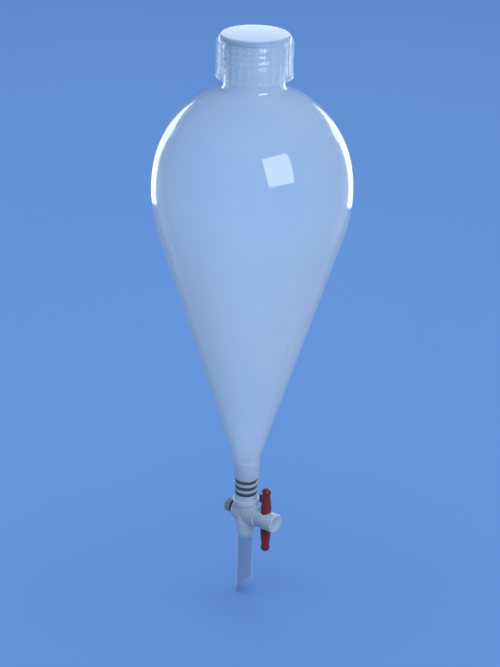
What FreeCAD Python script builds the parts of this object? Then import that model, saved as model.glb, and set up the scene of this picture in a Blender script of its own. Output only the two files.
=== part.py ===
import FreeCAD, Part
import math
import os

from FreeCAD import Vector

# A two litre fluoropolymer separatory funnel with a screw cap and a plug-in stopcock. Millimetres, +Z up.
# The origin is on the funnel's axis, level with the circle where the cone rests in its support ring.
# +X runs along the stopcock plug, from the retaining nut to the head that holds the handle.

# ---- Driving dimensions --------------------------------------------------------------------------
# Bulb, all outside sizes
seat_r = 50.8  # radius of the support ring that carries the cone
bulb_r = 73.4  # largest radius
cone_angle = 17.26  # between the cone's side and the axis, degrees
side_arc_r = 110.0  # from the widest circle down to the cone
crown_arc_r = 104.5  # from the widest circle up to the shoulder
crown_arc_turn = 10.4  # degrees turned by that arc
shoulder_arc_r = 73.9
bulb_wall = 1.3

# Neck with its outside thread
neck_r = 22.0
neck_wall = 2.5
neck_length = 31.8
neck_fillet_r = 4.5
neck_fillet_inside_r = 6.0
thread_pitch = 4.23
thread_height = 1.2
thread_base = 2.4
thread_crest = 1.0
neck_thread_turns = 4.0
thread_below_rim = 3.5
rim_round_r = 0.8

# Tube under the cone that takes the stopcock
tube_r = 10.2
tube_end_taper = 0.45  # radius lost from the top of the tube to its end
tube_wall = 1.5
tube_fillet_r = 35.0
tube_fillet_inside_r = 15.0
spigot_reach = 32.3  # how far the stopcock's inlet reaches up the tube
spigot_headroom = 0.8  # from the end of the inside fillet down to the inlet's rim

# Screw cap and its liner
thread_clearance = 0.35
cap_wall = 2.35
cap_top = 2.6
cap_corner_r = 2.9
skirt_gap = 5.4  # from the foot of the neck up to the cap
cap_thread_turns = 3.5
rib_count = 30
rib_width = 1.3
rib_height = 1.6
rib_below_top = 4.8
rib_root = 1.0  # how deep a rib starts inside the cap's side
bead_height = 1.8
bead_edge_r = 0.6
bead_proud = 0.15
liner_thick = 1.6
liner_side_gap = 0.55
seal_gap = 0.05

# Inlet O-rings, as squeezed in place
ring_width = 2.6
ring_depth = 2.3
ring_corner_r = 0.9
ring_count = 3
ring_spacing = 5.3
ring_above_shoulder = 5.7
groove_side_gap = 0.15
spigot_fit = 0.05
spigot_wall = 1.4  # left under an O-ring groove
spigot_rib_count = 2
spigot_rib_spacing = 4.3
spigot_rib_above_ring = 7.1
spigot_rib_relief = 0.5
spigot_rib_width = 1.6
spigot_rim_chamfer = 0.8

# Stopcock body
shoulder_length = 3.5
shoulder_to_plug_axis = 12.3
post_clearance = 0.5  # between the nut's reach and the taper under the shoulder
barrel_wall = 1.35  # at the head end, where it is thinnest
barrel_beyond_boss = 0.9
barrel_head_side = 14.0
barrel_bead_proud = 0.4
barrel_bead_width = 1.6
boss_below_barrel = 1.2
flow_r = 3.0
funnel_mouth_length = 5.0  # inside cone from the inlet down to the flow passage
outlet_spigot_r = 6.95
outlet_spigot_length = 9.4
outlet_tip_chamfer = 0.9

# Plug
plug_mid_r = 5.4
plug_taper = 0.1  # radius gained per millimetre towards the head: a 1 in 5 taper
running_fit = 0.05
plug_setback = 0.4  # from the barrel's nut end back to the plug's shoulder
head_step = 0.6  # from the barrel's side in to the head's
head_length = 16.7
head_gap = 0.3
head_edge_r = 0.9
tail_r = 2.9
tail_reach = 8.0  # beyond the barrel's nut end
tail_flat = 2.45
tail_chamfer = 0.4
nut_thread_pitch = 1.5
nut_thread_height = 0.5
nut_thread_base = 0.9
nut_thread_crest = 0.4
nut_thread_clearance = 0.1
tail_thread_turns = 2.6
nut_thread_turns = 2.4

# Washer, tension O-ring and nut on the plug's tail
washer_thick = 0.8
washer_beyond_seat = 0.85  # radius over the barrel's opening at the nut end
washer_fit = 0.15
tension_ring_thick = 2.6
ring_inside_washer = 0.2
stack_gap = 0.05
nut_beyond_washer = 0.4
nut_thick = 5.2
tension_ring_corner_r = 0.7
nut_edge_r = 1.0
nut_notches = 12
nut_notch_r = 0.8

# Handle
handle_off_middle = 1.85  # from the head's middle towards the barrel
handle_half_length = 27.9
handle_r = 4.15
handle_waist_r = 3.15
handle_ball_r = 3.55
handle_waist_from_end = 6.3
handle_straight_half = 11.0
handle_fit = 0.05
tab_low = 13.6
tab_height = 6.8
tab_reach = 6.6
tab_thick = 1.6
tab_corner_r = 1.6

# Stem
stem_r = 6.7
stem_wall = 1.2
stem_fit = 0.05
flare_wall = 1.1
flare_length = 11.4
flare_cone = 2.2
stem_length = 61.9
stem_bevel_drop = 11.6
stem_bevel_heading = 40.0  # degrees from +X towards +Y, the side where the bevel is highest

# ---- Places that follow from them ----------------------------------------------------------------
cone_rad = math.radians(cone_angle)
crown_rad = math.radians(crown_arc_turn)
cone_sin = math.sin(cone_rad)
cone_cos = math.cos(cone_rad)

tangent_r = bulb_r - side_arc_r * (1.0 - cone_cos)
tangent_z = (tangent_r - seat_r) / math.tan(cone_rad)
equator_z = tangent_z + side_arc_r * cone_sin
shoulder_centre_r = bulb_r - crown_arc_r * (1.0 - math.cos(crown_rad)) - shoulder_arc_r * math.cos(crown_rad)
shoulder_centre_z = equator_z + (crown_arc_r - shoulder_arc_r) * math.sin(crown_rad)
neck_foot_z = shoulder_centre_z + math.sqrt(
    (shoulder_arc_r + neck_fillet_r) ** 2 - (neck_r + neck_fillet_r - shoulder_centre_r) ** 2
)
rim_z = neck_foot_z + neck_length
neck_bore_r = neck_r - neck_wall
tube_end_r = tube_r - tube_end_taper
tube_bore_r = tube_r - tube_wall


def blend_height(radius, fillet_r, wall):
    """Height where a fillet between the cone, offset inwards by a wall, and a tube of this radius ends."""
    across = (radius + fillet_r - seat_r) * cone_cos + wall
    return (across - fillet_r) / cone_sin


bore_top_z = blend_height(tube_bore_r, tube_fillet_inside_r, bulb_wall)
spigot_top_z = bore_top_z - spigot_headroom
tube_end_z = spigot_top_z - spigot_reach
plug_axis_z = tube_end_z - shoulder_to_plug_axis
flare_bore_r = outlet_spigot_r + stem_fit
boss_r = flare_bore_r + flare_wall
barrel_nut_side = boss_r + barrel_beyond_boss


def plug_radius(x):
    """Radius of the tapered plug at a place along its axis."""
    return plug_mid_r + plug_taper * x


barrel_r = plug_radius(barrel_head_side) + running_fit + barrel_wall
washer_r = plug_radius(-barrel_nut_side) + running_fit + washer_beyond_seat
tension_ring_r = washer_r - ring_inside_washer
nut_r = washer_r + nut_beyond_washer
boss_end_z = plug_axis_z - barrel_r - boss_below_barrel
stem_end_z = boss_end_z - stem_length

thread_major_r = neck_r + thread_height
cap_bore_r = thread_major_r + thread_clearance
cap_r = cap_bore_r + cap_wall
liner_base_z = rim_z + seal_gap
cap_ceiling_z = liner_base_z + liner_thick + seal_gap
cap_top_z = cap_ceiling_z + cap_top
cap_base_z = neck_foot_z + skirt_gap

spigot_r = tube_bore_r - spigot_fit
groove_floor_r = tube_bore_r - ring_depth
spigot_bore_r = groove_floor_r - spigot_wall
ring_levels = [tube_end_z + ring_above_shoulder + i * ring_spacing for i in range(ring_count)]
first_rib_z = ring_levels[-1] + spigot_rib_above_ring
rib_levels = [first_rib_z + i * spigot_rib_spacing for i in range(spigot_rib_count)]

head_r = barrel_r - head_step
head_low_x = barrel_head_side + head_gap
handle_x = head_low_x + head_length / 2 - handle_off_middle
washer_x = -barrel_nut_side - stack_gap
tension_ring_x = washer_x - washer_thick - stack_gap
nut_x = tension_ring_x - tension_ring_thick - stack_gap
tension_ring_bore_r = tail_r + nut_thread_height + washer_fit
stem_bore_r = stem_r - stem_wall

PAST = 1.0  # how far a cutting shape reaches past what it cuts
SLIGHT = 1e-4  # tolerance for finding edges by their place
ORIGIN = Vector(0, 0, 0)
UP = Vector(0, 0, 1)
ACROSS = Vector(0, 1, 0)


# ---- Tools ---------------------------------------------------------------------------------------
class Section:
    """Half of a section beside the Z axis, drawn edge by edge and turned into a solid of revolution."""

    def __init__(self, r, z):
        self.here = Vector(r, 0, z)
        self.start = self.here
        self.edges = []

    def line(self, r, z):
        there = Vector(r, 0, z)
        self.edges.append(Part.LineSegment(self.here, there).toShape())
        self.here = there
        return self

    def arc(self, centre_r, centre_z, r, z):
        """The arc of less than half a turn about a centre, from the last point to this one."""
        centre = Vector(centre_r, 0, centre_z)
        there = Vector(r, 0, z)
        radius = (there - centre).Length
        half_way = (self.here - centre) + (there - centre)
        middle = centre + half_way.normalize() * radius
        self.edges.append(Part.Arc(self.here, middle, there).toShape())
        self.here = there
        return self

    def turned(self):
        if (self.here - self.start).Length > SLIGHT:
            self.line(self.start.x, self.start.z)
        face = Part.Face(Part.Wire(self.edges))
        return face.revolve(ORIGIN, UP, 360)


def column(radius, low, high):
    """A plain round bar on the Z axis."""
    return Part.makeCylinder(radius, high - low, Vector(0, 0, low))


def onto_plug_axis(shape):
    """Lays a shape that was made along +Z down along +X, on the plug's axis."""
    laid = shape.copy()
    laid.rotate(ORIGIN, ACROSS, 90)
    laid.translate(Vector(0, 0, plug_axis_z))
    return laid


def thread_ridge(root_r, height, base, crest, pitch, turns, low, inward):
    """A right-hand helical ridge that starts at height low. It stands outwards from root_r, or inwards."""
    side = -1.0 if inward else 1.0
    buried = 0.3
    foot_r = root_r - side * buried
    tip_r = root_r + side * height
    spread = base + (base - crest) * buried / height
    spine = Part.makeHelix(pitch, pitch * turns, root_r)
    spine.translate(Vector(0, 0, low))
    corners = [
        Vector(foot_r, 0, low - spread / 2),
        Vector(tip_r, 0, low - crest / 2),
        Vector(tip_r, 0, low + crest / 2),
        Vector(foot_r, 0, low + spread / 2),
    ]
    profile = Part.makePolygon(corners + corners[:1])
    return Part.Wire(spine).makePipeShell([profile], True, True)


def squeezed_ring(inner_r, outer_r, low, high, corner):
    """An elastic ring about the Z axis whose round section has been pressed nearly square."""
    ring = Section(inner_r, high - corner)
    ring.arc(inner_r + corner, high - corner, inner_r + corner, high)
    ring.line(outer_r - corner, high)
    ring.arc(outer_r - corner, high - corner, outer_r, high - corner)
    ring.line(outer_r, low + corner)
    ring.arc(outer_r - corner, low + corner, outer_r - corner, low)
    ring.line(inner_r + corner, low)
    ring.arc(inner_r + corner, low + corner, inner_r, low + corner)
    return ring.turned()


def one_solid(shape):
    """The single solid of a boolean result, with split faces joined again."""
    return shape.removeSplitter().Solids[0]


# ---- The bulb with its neck and tube -------------------------------------------------------------
def bulb_section(wall, top_r, top_fillet_r, low_r, low_fillet_r, low_end_r):
    """The funnel's side from the neck to the end of the tube, moved inwards by a wall."""
    arc_r = shoulder_arc_r - wall
    reach_r = top_r + top_fillet_r - shoulder_centre_r
    reach = arc_r + top_fillet_r
    fillet_z = shoulder_centre_z + math.sqrt(reach**2 - reach_r**2)
    share = arc_r / reach
    crown_end_r = shoulder_centre_r + arc_r * math.cos(crown_rad)
    crown_end_z = shoulder_centre_z + arc_r * math.sin(crown_rad)
    blend_z = blend_height(low_r, low_fillet_r, wall)
    blend_r = low_r + low_fillet_r
    side = Section(top_r, rim_z)
    side.line(top_r, fillet_z)
    side.arc(
        top_r + top_fillet_r,
        fillet_z,
        shoulder_centre_r + reach_r * share,
        shoulder_centre_z + (fillet_z - shoulder_centre_z) * share,
    )
    side.arc(shoulder_centre_r, shoulder_centre_z, crown_end_r, crown_end_z)
    side.arc(bulb_r - crown_arc_r, equator_z, bulb_r - wall, equator_z)
    side.arc(
        bulb_r - side_arc_r,
        equator_z,
        tangent_r - wall * cone_cos,
        tangent_z + wall * cone_sin,
    )
    side.line(blend_r - low_fillet_r * cone_cos, blend_z + low_fillet_r * cone_sin)
    side.arc(blend_r, blend_z, low_r, blend_z)
    side.line(low_end_r, tube_end_z)
    side.line(0, tube_end_z)
    side.line(0, rim_z)
    return side


def make_funnel_body():
    outside = bulb_section(0.0, neck_r, neck_fillet_r, tube_r, tube_fillet_r, tube_end_r).turned()
    inside = bulb_section(
        bulb_wall, neck_bore_r, neck_fillet_inside_r, tube_bore_r, tube_fillet_inside_r, tube_bore_r
    ).turned()
    thread_low = rim_z - thread_below_rim - neck_thread_turns * thread_pitch
    thread = thread_ridge(
        neck_r, thread_height, thread_base, thread_crest, thread_pitch, neck_thread_turns, thread_low, False
    )
    shell = outside.fuse(thread).cut(inside)
    rim_edges = [
        edge
        for edge in shell.Edges
        if abs(edge.BoundBox.ZMin - rim_z) < SLIGHT and abs(edge.BoundBox.ZMax - rim_z) < SLIGHT
    ]
    return one_solid(shell.makeFillet(rim_round_r, rim_edges))


# ---- Screw cap and liner -------------------------------------------------------------------------
def make_screw_cap():
    outside = Section(0, cap_top_z)
    outside.line(cap_r - cap_corner_r, cap_top_z)
    outside.arc(cap_r - cap_corner_r, cap_top_z - cap_corner_r, cap_r, cap_top_z - cap_corner_r)
    outside.line(cap_r, cap_base_z)
    outside.line(0, cap_base_z)
    cap = outside.turned()

    rib_top_z = cap_top_z - rib_below_top
    rib_r = cap_r + rib_height
    rib_section = Section(cap_r - rib_root, cap_base_z)
    rib_section.line(rib_r, cap_base_z)
    rib_section.line(rib_r, rib_top_z - rib_height / 2)
    rib_section.arc(rib_r - rib_height / 2, rib_top_z - rib_height / 2, rib_r - rib_height / 2, rib_top_z)
    rib_section.line(cap_r - rib_root, rib_top_z)
    rib_section.line(cap_r - rib_root, cap_base_z)
    rib = Part.Face(Part.Wire(rib_section.edges)).extrude(Vector(0, rib_width, 0))
    rib.translate(Vector(0, -rib_width / 2, 0))
    ribs = []
    for i in range(rib_count):
        ribs.append(rib.copy())
        ribs[-1].rotate(ORIGIN, UP, 360.0 * i / rib_count)

    bead_r = rib_r + bead_proud
    bead = column(bead_r, cap_base_z, cap_base_z + bead_height)
    bead = bead.makeFillet(bead_edge_r, [edge for edge in bead.Edges if edge.Length > 2 * bead_r])
    cap = cap.fuse([bead] + ribs)
    cap = cap.cut(column(cap_bore_r, cap_base_z - PAST, cap_ceiling_z))

    # The cap's ridge runs half a pitch above the neck's, so that each lies in the other's groove.
    neck_low = rim_z - thread_below_rim - neck_thread_turns * thread_pitch
    ridge_low = neck_low + thread_pitch / 2
    ridge = thread_ridge(
        cap_bore_r, thread_height, thread_base, thread_crest, thread_pitch, cap_thread_turns, ridge_low, True
    )
    return one_solid(cap.fuse(ridge))


def make_cap_liner():
    return column(cap_bore_r - liner_side_gap, liner_base_z, liner_base_z + liner_thick)


# ---- Stopcock body -------------------------------------------------------------------------------
def make_stopcock_body():
    post = Section(spigot_bore_r, spigot_top_z)
    post.line(spigot_r - spigot_rim_chamfer, spigot_top_z)
    post.line(spigot_r, spigot_top_z - spigot_rim_chamfer)
    post.line(spigot_r, tube_end_z)
    post.line(tube_r, tube_end_z)
    post.line(tube_r, tube_end_z - shoulder_length)
    post.line(boss_r, plug_axis_z + max(nut_r, washer_r) + post_clearance)
    post.line(boss_r, boss_end_z)
    post.line(outlet_spigot_r, boss_end_z)
    post.line(outlet_spigot_r, boss_end_z - outlet_spigot_length + outlet_tip_chamfer)
    post.line(outlet_spigot_r - outlet_tip_chamfer, boss_end_z - outlet_spigot_length)
    post.line(0, boss_end_z - outlet_spigot_length)
    post.line(0, spigot_top_z)
    body = post.turned()

    barrel = Section(0, -barrel_nut_side)
    barrel.line(barrel_r, -barrel_nut_side)
    barrel.line(barrel_r, barrel_head_side - barrel_bead_width)
    barrel.line(barrel_r + barrel_bead_proud, barrel_head_side - barrel_bead_width)
    barrel.line(barrel_r + barrel_bead_proud, barrel_head_side)
    barrel.line(0, barrel_head_side)
    body = body.fuse(onto_plug_axis(barrel.turned()))

    for level in ring_levels:
        reach = ring_width / 2 + groove_side_gap
        groove = column(spigot_r + PAST, level - reach, level + reach)
        body = body.cut(groove.cut(column(groove_floor_r, level - reach, level + reach)))

    # The spigot is relieved between the upper ribs, which steady it in the tube.
    relief_low = ring_levels[-1] + ring_width
    relief_high = spigot_top_z - 2 * spigot_rim_chamfer
    rib_half = spigot_rib_width / 2
    relief = column(spigot_r + PAST, relief_low, relief_high)
    relief = relief.cut(column(spigot_r - spigot_rib_relief, relief_low, relief_high))
    for level in rib_levels:
        relief = relief.cut(column(spigot_r + 2 * PAST, level - rib_half, level + rib_half))
    body = body.cut(relief)

    passage = Section(0, spigot_top_z + PAST)
    passage.line(spigot_bore_r, spigot_top_z + PAST)
    passage.line(spigot_bore_r, tube_end_z)
    passage.line(flow_r, tube_end_z - funnel_mouth_length)
    passage.line(flow_r, boss_end_z - outlet_spigot_length - PAST)
    passage.line(0, boss_end_z - outlet_spigot_length - PAST)
    body = body.cut(passage.turned())

    low = -barrel_nut_side - PAST
    high = barrel_head_side + PAST
    seat = Section(0, low)
    seat.line(plug_radius(low) + running_fit, low)
    seat.line(plug_radius(high) + running_fit, high)
    seat.line(0, high)
    body = body.cut(onto_plug_axis(seat.turned()))
    return one_solid(body)


def make_inlet_o_ring(level):
    low = level - ring_width / 2
    return squeezed_ring(groove_floor_r, tube_bore_r, low, low + ring_width, ring_corner_r)


# ---- Plug, washer, tension ring and nut ----------------------------------------------------------
def make_plug():
    small_end = -barrel_nut_side + plug_setback
    head_low = head_low_x
    head_high = head_low + head_length
    tail_end = -barrel_nut_side - tail_reach
    shape = Section(0, tail_end)
    shape.line(tail_r - tail_chamfer, tail_end)
    shape.line(tail_r, tail_end + tail_chamfer)
    shape.line(tail_r, small_end)
    shape.line(plug_radius(small_end), small_end)
    shape.line(plug_radius(head_low), head_low)
    shape.line(head_r, head_low)
    shape.line(head_r, head_high - head_edge_r)
    shape.arc(head_r - head_edge_r, head_high - head_edge_r, head_r - head_edge_r, head_high)
    shape.line(0, head_high)
    plug = shape.turned()

    thread_low = tail_end + nut_thread_base
    thread = thread_ridge(
        tail_r,
        nut_thread_height,
        nut_thread_base,
        nut_thread_crest,
        nut_thread_pitch,
        tail_thread_turns,
        thread_low,
        False,
    )
    plug = plug.fuse(thread)
    crest_r = tail_r + nut_thread_height
    for side in (-1, 1):
        flat = Part.makeBox(
            4 * crest_r, crest_r, small_end - tail_end + PAST, Vector(-2 * crest_r, 0, tail_end - PAST)
        )
        flat.translate(Vector(0, tail_flat if side > 0 else -tail_flat - crest_r, 0))
        plug = plug.cut(flat)
    plug = onto_plug_axis(plug)

    flow = column(flow_r, plug_axis_z - barrel_r, plug_axis_z + barrel_r)
    cross_hole = column(handle_r + handle_fit, plug_axis_z - 2 * head_r, plug_axis_z + 2 * head_r)
    cross_hole.translate(Vector(handle_x, 0, 0))
    return one_solid(plug.cut([flow, cross_hole]))


def make_plug_washer():
    hole_r = tail_r + nut_thread_height + washer_fit
    hole = column(hole_r, washer_x - washer_thick - PAST, washer_x + PAST)
    keep = Part.makeBox(
        4 * hole_r,
        2 * (tail_flat + washer_fit),
        washer_thick + 2 * PAST,
        Vector(-2 * hole_r, -tail_flat - washer_fit, washer_x - washer_thick - PAST),
    )
    disc = column(washer_r, washer_x - washer_thick, washer_x)
    return onto_plug_axis(disc.cut(hole.common(keep)))


def make_tension_o_ring():
    far_x = tension_ring_x - tension_ring_thick
    ring = squeezed_ring(tension_ring_bore_r, tension_ring_r, far_x, tension_ring_x, tension_ring_corner_r)
    return onto_plug_axis(ring)


def make_retaining_nut():
    bore_r = tail_r + nut_thread_height + nut_thread_clearance
    outer_x = nut_x - nut_thick
    blank = Section(bore_r, outer_x)
    blank.line(nut_r - nut_edge_r, outer_x)
    blank.arc(nut_r - nut_edge_r, outer_x + nut_edge_r, nut_r, outer_x + nut_edge_r)
    blank.line(nut_r, nut_x)
    blank.line(bore_r, nut_x)
    nut = blank.turned()
    notch = column(nut_notch_r, outer_x - PAST, nut_x - nut_edge_r)
    notch.translate(Vector(nut_r + nut_notch_r / 2, 0, 0))
    for i in range(nut_notches):
        groove = notch.copy()
        groove.rotate(ORIGIN, UP, 360.0 * i / nut_notches)
        nut = nut.cut(groove)

    # The nut's ridge runs half a pitch above the tail's.
    tail_end = -barrel_nut_side - tail_reach
    tail_low = tail_end + nut_thread_base
    ridge = thread_ridge(
        bore_r,
        nut_thread_height,
        nut_thread_base,
        nut_thread_crest,
        nut_thread_pitch,
        nut_thread_turns,
        tail_low + nut_thread_pitch / 2,
        True,
    )
    return onto_plug_axis(one_solid(nut.fuse(ridge)))


# ---- Handle --------------------------------------------------------------------------------------
def make_handle():
    ball_z = handle_half_length - handle_ball_r
    waist_z = handle_half_length - handle_waist_from_end
    dip = math.sqrt(handle_ball_r**2 - handle_waist_r**2)
    bar = Section(0, handle_half_length)
    bar.arc(0, ball_z, handle_ball_r, ball_z)
    bar.arc(0, ball_z, handle_waist_r, ball_z - dip)
    bar.line(handle_waist_r, waist_z)
    bar.line(handle_r, handle_straight_half)
    bar.line(handle_r, -handle_straight_half)
    bar.line(handle_waist_r, -waist_z)
    bar.line(handle_waist_r, dip - ball_z)
    bar.arc(0, -ball_z, handle_ball_r, -ball_z)
    bar.arc(0, -ball_z, 0, -handle_half_length)
    handle = bar.turned()

    tab = Part.makeBox(tab_reach, tab_thick, tab_height, Vector(-tab_reach, -tab_thick / 2, tab_low))
    outer_edges = [
        edge
        for edge in tab.Edges
        if edge.BoundBox.XMax < SLIGHT - tab_reach and edge.BoundBox.YLength > tab_thick / 2
    ]
    tab = tab.makeFillet(tab_corner_r, outer_edges)
    handle = one_solid(handle.fuse(tab))
    handle.translate(Vector(handle_x, 0, plug_axis_z))
    return handle


# ---- Stem ----------------------------------------------------------------------------------------
def make_stem_tube():
    flare_r = flare_bore_r + flare_wall
    flare_end_z = boss_end_z - flare_length
    outside = Section(0, boss_end_z)
    outside.line(flare_r, boss_end_z)
    outside.line(flare_r, flare_end_z + flare_cone)
    outside.line(stem_r, flare_end_z)
    outside.line(stem_r, stem_end_z)
    outside.line(0, stem_end_z)
    inside = Section(0, boss_end_z + PAST)
    inside.line(flare_bore_r, boss_end_z + PAST)
    inside.line(flare_bore_r, flare_end_z + flare_cone - stem_wall / 2)
    inside.line(stem_bore_r, flare_end_z - stem_wall / 2)
    inside.line(stem_bore_r, stem_end_z - PAST)
    inside.line(0, stem_end_z - PAST)
    tube = outside.turned().cut(inside.turned())

    # The tip is cut off on a slant. A large box below the slanting plane takes the corner away.
    slope = math.degrees(math.atan2(stem_bevel_drop, 2 * stem_r))
    size = 8 * stem_r
    block = Part.makeBox(size, size, size, Vector(-size / 2, -size / 2, -size))
    block.rotate(ORIGIN, ACROSS, -slope)
    block.translate(Vector(0, 0, stem_end_z + stem_bevel_drop / 2))
    block.rotate(ORIGIN, UP, stem_bevel_heading)
    return one_solid(tube.cut(block))


# ---- Files ---------------------------------------------------------------------------------------
os.makedirs("parts", exist_ok=True)

pieces = {
    "funnel_body": make_funnel_body(),
    "screw_cap": make_screw_cap(),
    "cap_liner": make_cap_liner(),
    "stopcock_body": make_stopcock_body(),
    "stopcock_plug": make_plug(),
    "handle": make_handle(),
    "plug_washer": make_plug_washer(),
    "tension_o_ring": make_tension_o_ring(),
    "retaining_nut": make_retaining_nut(),
    "stem_tube": make_stem_tube(),
}
for number, ring_level in enumerate(reversed(ring_levels), 1):
    pieces[f"inlet_o_ring_{number}"] = make_inlet_o_ring(ring_level)

for name, shape in pieces.items():
    shape.exportStep(f"parts/{name}.step")
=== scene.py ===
"""Looks of a two litre plastic separatory funnel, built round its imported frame. Metres, +Z up."""

import logging
import math
from dataclasses import dataclass, replace
from enum import Enum

import bpy
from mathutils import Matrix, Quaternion, Vector


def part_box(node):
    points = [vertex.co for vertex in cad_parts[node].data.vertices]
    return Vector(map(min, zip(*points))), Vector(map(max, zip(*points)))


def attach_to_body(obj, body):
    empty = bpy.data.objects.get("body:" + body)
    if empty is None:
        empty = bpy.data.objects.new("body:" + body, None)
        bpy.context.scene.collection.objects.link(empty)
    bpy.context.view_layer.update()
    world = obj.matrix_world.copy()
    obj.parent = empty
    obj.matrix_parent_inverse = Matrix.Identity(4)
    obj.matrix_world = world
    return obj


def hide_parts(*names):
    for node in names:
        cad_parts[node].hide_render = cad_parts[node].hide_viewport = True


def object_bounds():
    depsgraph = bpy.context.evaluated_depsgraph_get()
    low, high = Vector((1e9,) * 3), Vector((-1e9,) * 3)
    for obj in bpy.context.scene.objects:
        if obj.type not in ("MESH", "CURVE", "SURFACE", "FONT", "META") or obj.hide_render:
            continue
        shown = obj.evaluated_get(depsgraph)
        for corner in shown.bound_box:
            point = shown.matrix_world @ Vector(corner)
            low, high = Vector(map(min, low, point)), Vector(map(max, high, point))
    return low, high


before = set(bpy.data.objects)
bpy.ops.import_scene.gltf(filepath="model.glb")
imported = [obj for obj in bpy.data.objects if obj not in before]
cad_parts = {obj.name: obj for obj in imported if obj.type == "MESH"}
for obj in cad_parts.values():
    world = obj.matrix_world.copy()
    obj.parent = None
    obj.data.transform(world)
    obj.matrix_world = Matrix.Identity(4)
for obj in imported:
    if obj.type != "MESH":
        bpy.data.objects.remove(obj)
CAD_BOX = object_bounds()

Point = tuple[float, float]
Colour = tuple[float, float, float]
MM = 0.001
MERGE = 1e-6
CLEAR_LAYERS = 32
TURN = 2.0 * math.pi
LOG = logging.getLogger("funnel")


# ---- Outlines ------------------------------------------------------------------------------------
@dataclass(frozen=True)
class Corner:
    """A corner of an outline beside the axis, in millimetres, with the radius that rounds it."""

    r: float
    z: float
    rounding: float = 0.0


def arc_points(centre: Point, start: Point, end: Point, step: float = 3.0) -> list[Point]:
    """Points along the shorter arc about a centre.

    Args:
        centre: Centre of the arc.
        start: Where the arc starts.
        end: Where it ends, at the same radius.
        step: Largest turn between two points, in degrees.

    Returns:
        The points, with both ends.
    """
    begin = math.atan2(start[1] - centre[1], start[0] - centre[0])
    sweep = math.atan2(end[1] - centre[1], end[0] - centre[0]) - begin
    sweep = (sweep + math.pi) % TURN - math.pi
    radius = math.dist(centre, start)
    count = max(1, math.ceil(abs(math.degrees(sweep)) / step - 1e-6))
    angles = [begin + sweep * i / count for i in range(count + 1)]
    return [(centre[0] + radius * math.cos(a), centre[1] + radius * math.sin(a)) for a in angles]


def rounded(corners: list[Corner], closed: bool) -> list[Point]:
    """Turns corners into a line of points, with an arc at each corner that has a rounding.

    Args:
        corners: The corners in order.
        closed: Whether the last corner joins the first.

    Returns:
        The points in millimetres, the first one repeated at the end where the outline is closed.
    """
    points: list[Point] = []
    count = len(corners)
    for i, corner in enumerate(corners):
        here = Vector((corner.r, corner.z))
        is_end = not closed and i in (0, count - 1)
        if corner.rounding <= 0.0 or is_end:
            points.append((here.x, here.y))
            continue
        before = Vector((corners[i - 1].r, corners[i - 1].z)) - here
        after = Vector((corners[(i + 1) % count].r, corners[(i + 1) % count].z)) - here
        half = before.angle(after) / 2.0
        reach = corner.rounding / math.tan(half)
        start = here + before.normalized() * reach
        end = here + after.normalized() * reach
        middle = (before.normalized() + after.normalized()).normalized()
        centre = here + middle * (corner.rounding / math.sin(half))
        points.extend(arc_points((centre.x, centre.y), (start.x, start.y), (end.x, end.y), 18.0))
    if closed:
        points.append(points[0])
    return points


def ring_corners(inner: float, outer: float, low: float, high: float, rounding: float) -> list[Corner]:
    """The four corners of a ring's section, all rounded alike. Sizes in millimetres."""
    return [Corner(r, z, rounding) for r, z in ((inner, low), (outer, low), (outer, high), (inner, high))]


# ---- Modelling moves -----------------------------------------------------------------------------
class Join(Enum):
    """What a second solid does to a piece."""

    ADD = "UNION"
    CUT = "DIFFERENCE"


class Axis(Enum):
    """The two axes that pieces are turned about."""

    FUNNEL = "funnel"
    PLUG = "plug"


def fresh() -> None:
    """Leaves edit mode and deselects everything, before a primitive is added."""
    if bpy.context.object and bpy.context.object.mode != "OBJECT":
        bpy.ops.object.mode_set(mode="OBJECT")
    bpy.ops.object.select_all(action="DESELECT")


def settle(piece: bpy.types.Object) -> None:
    """Deselects everything else and makes one piece active.

    Args:
        piece: The piece that the next operators act on.
    """
    fresh()
    piece.select_set(True)
    bpy.context.view_layer.objects.active = piece


def modify(piece: bpy.types.Object, kind: str, **settings: object) -> None:
    """Adds a modifier with these settings and applies it.

    Args:
        piece: The piece that it shapes.
        kind: The modifier's type.
        settings: Its settings by name.
    """
    settle(piece)
    modifier = piece.modifiers.new(kind.title(), kind)
    for name, value in settings.items():
        setattr(modifier, name, value)
    bpy.ops.object.modifier_apply(modifier=modifier.name)


def combine(piece: bpy.types.Object, tool: bpy.types.Object, how: Join) -> None:
    """Joins a second solid to a piece or cuts it away, and uses it up."""
    modify(piece, "BOOLEAN", operation=how.value, object=tool, solver="EXACT")
    bpy.data.objects.remove(tool)


def tidy_mesh(piece: bpy.types.Object, merge: float = MERGE) -> None:
    """Merges doubled vertices and turns every face outwards.

    Args:
        piece: A closed piece.
        merge: How near two vertices are when they become one, in metres.
    """
    settle(piece)
    bpy.ops.object.mode_set(mode="EDIT")
    bpy.ops.mesh.select_all(action="SELECT")
    bpy.ops.mesh.remove_doubles(threshold=merge)
    bpy.ops.mesh.normals_make_consistent(inside=False)
    bpy.ops.object.mode_set(mode="OBJECT")


def smooth(piece: bpy.types.Object, crease: float = 40.0) -> None:
    """Shades a piece smooth, but keeps edges sharper than the crease, in degrees."""
    settle(piece)
    bpy.ops.object.shade_smooth_by_angle(angle=math.radians(crease))


def soften(piece: bpy.types.Object, grain: float, passes: int) -> None:
    """Melts the inside corners of joined solids into small moulded fillets.

    Args:
        piece: The piece, a closed solid.
        grain: Size of the new faces, in millimetres.
        passes: How many times the surface is relaxed.
    """
    modify(piece, "REMESH", mode="VOXEL", voxel_size=grain * MM)
    modify(piece, "SMOOTH", factor=0.5, iterations=passes)


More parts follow.
